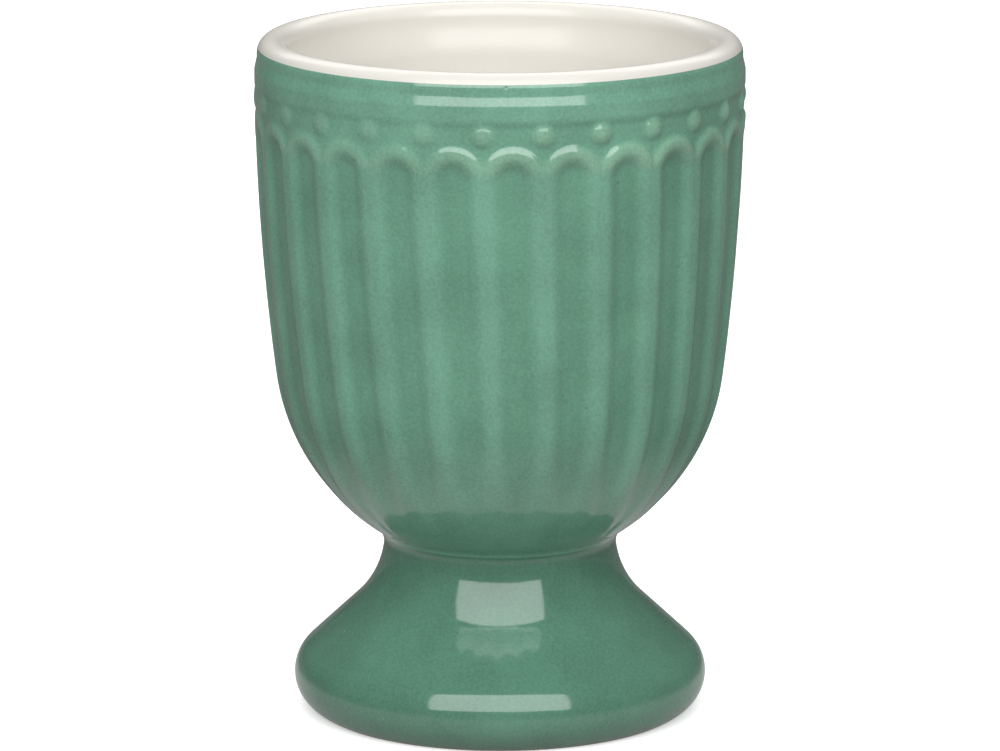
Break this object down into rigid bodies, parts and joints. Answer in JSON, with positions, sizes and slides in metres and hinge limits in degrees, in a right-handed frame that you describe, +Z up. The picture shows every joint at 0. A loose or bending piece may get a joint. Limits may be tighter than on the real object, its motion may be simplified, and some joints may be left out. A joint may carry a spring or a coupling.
{
  "type": "egg cup",
  "caption": "Glazed earthenware egg cup: a fluted, beaded bowl with a round egg well on a short hollow foot.",
  "frame": {"origin": "on the axis of the cup, at the level of the flat ring that the foot stands on", "axes": "+Z is up along the axis, out of the mouth; -Y faces the camera of the picture; the cup is turned, so X and Y differ only in where the flutes stand"},
  "size_m": [0.0486, 0.0486, 0.0675],
  "materials": {
    "green_glaze": "gloss",
    "white_glaze": "gloss",
    "clay_slip": "gloss"
  },
  "bodies": {
    "root": {"bowl": "green_glaze", "luting_slip": "clay_slip", "foot": "green_glaze"}
  },
  "joints": []
}
